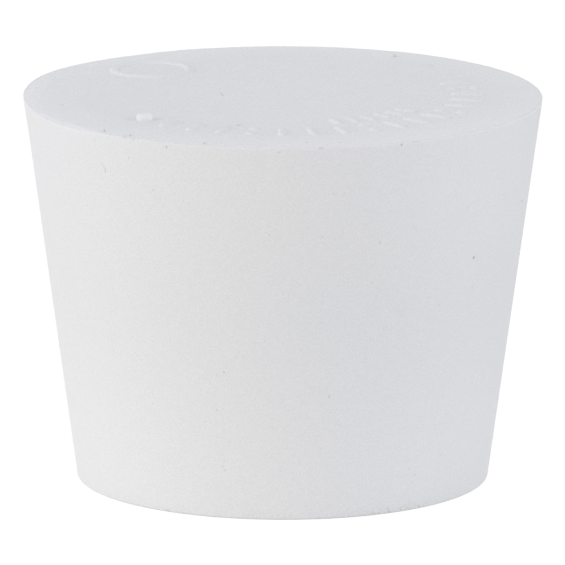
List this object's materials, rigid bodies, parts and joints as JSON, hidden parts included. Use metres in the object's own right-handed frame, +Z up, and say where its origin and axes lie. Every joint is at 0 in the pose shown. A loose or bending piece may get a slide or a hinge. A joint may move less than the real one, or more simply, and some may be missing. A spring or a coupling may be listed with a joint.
{
  "type": "rubber stopper",
  "caption": "Solid tapered rubber stopper with a flat top that carries plain raised index marks, pushed base first into a flask or bottle neck to close it.",
  "frame": {"origin": "centre of the flat base that it stands on", "axes": "+Z up along the plug's axis, from the narrow base to the wide top face; -Y towards the viewer, so that the gate lies at the front left of the top face"},
  "size_m": [0.034, 0.034, 0.0258],
  "materials": {
    "white_rubber": "matte"
  },
  "bodies": {
    "root": {"stopper": "white_rubber"}
  },
  "joints": []
}
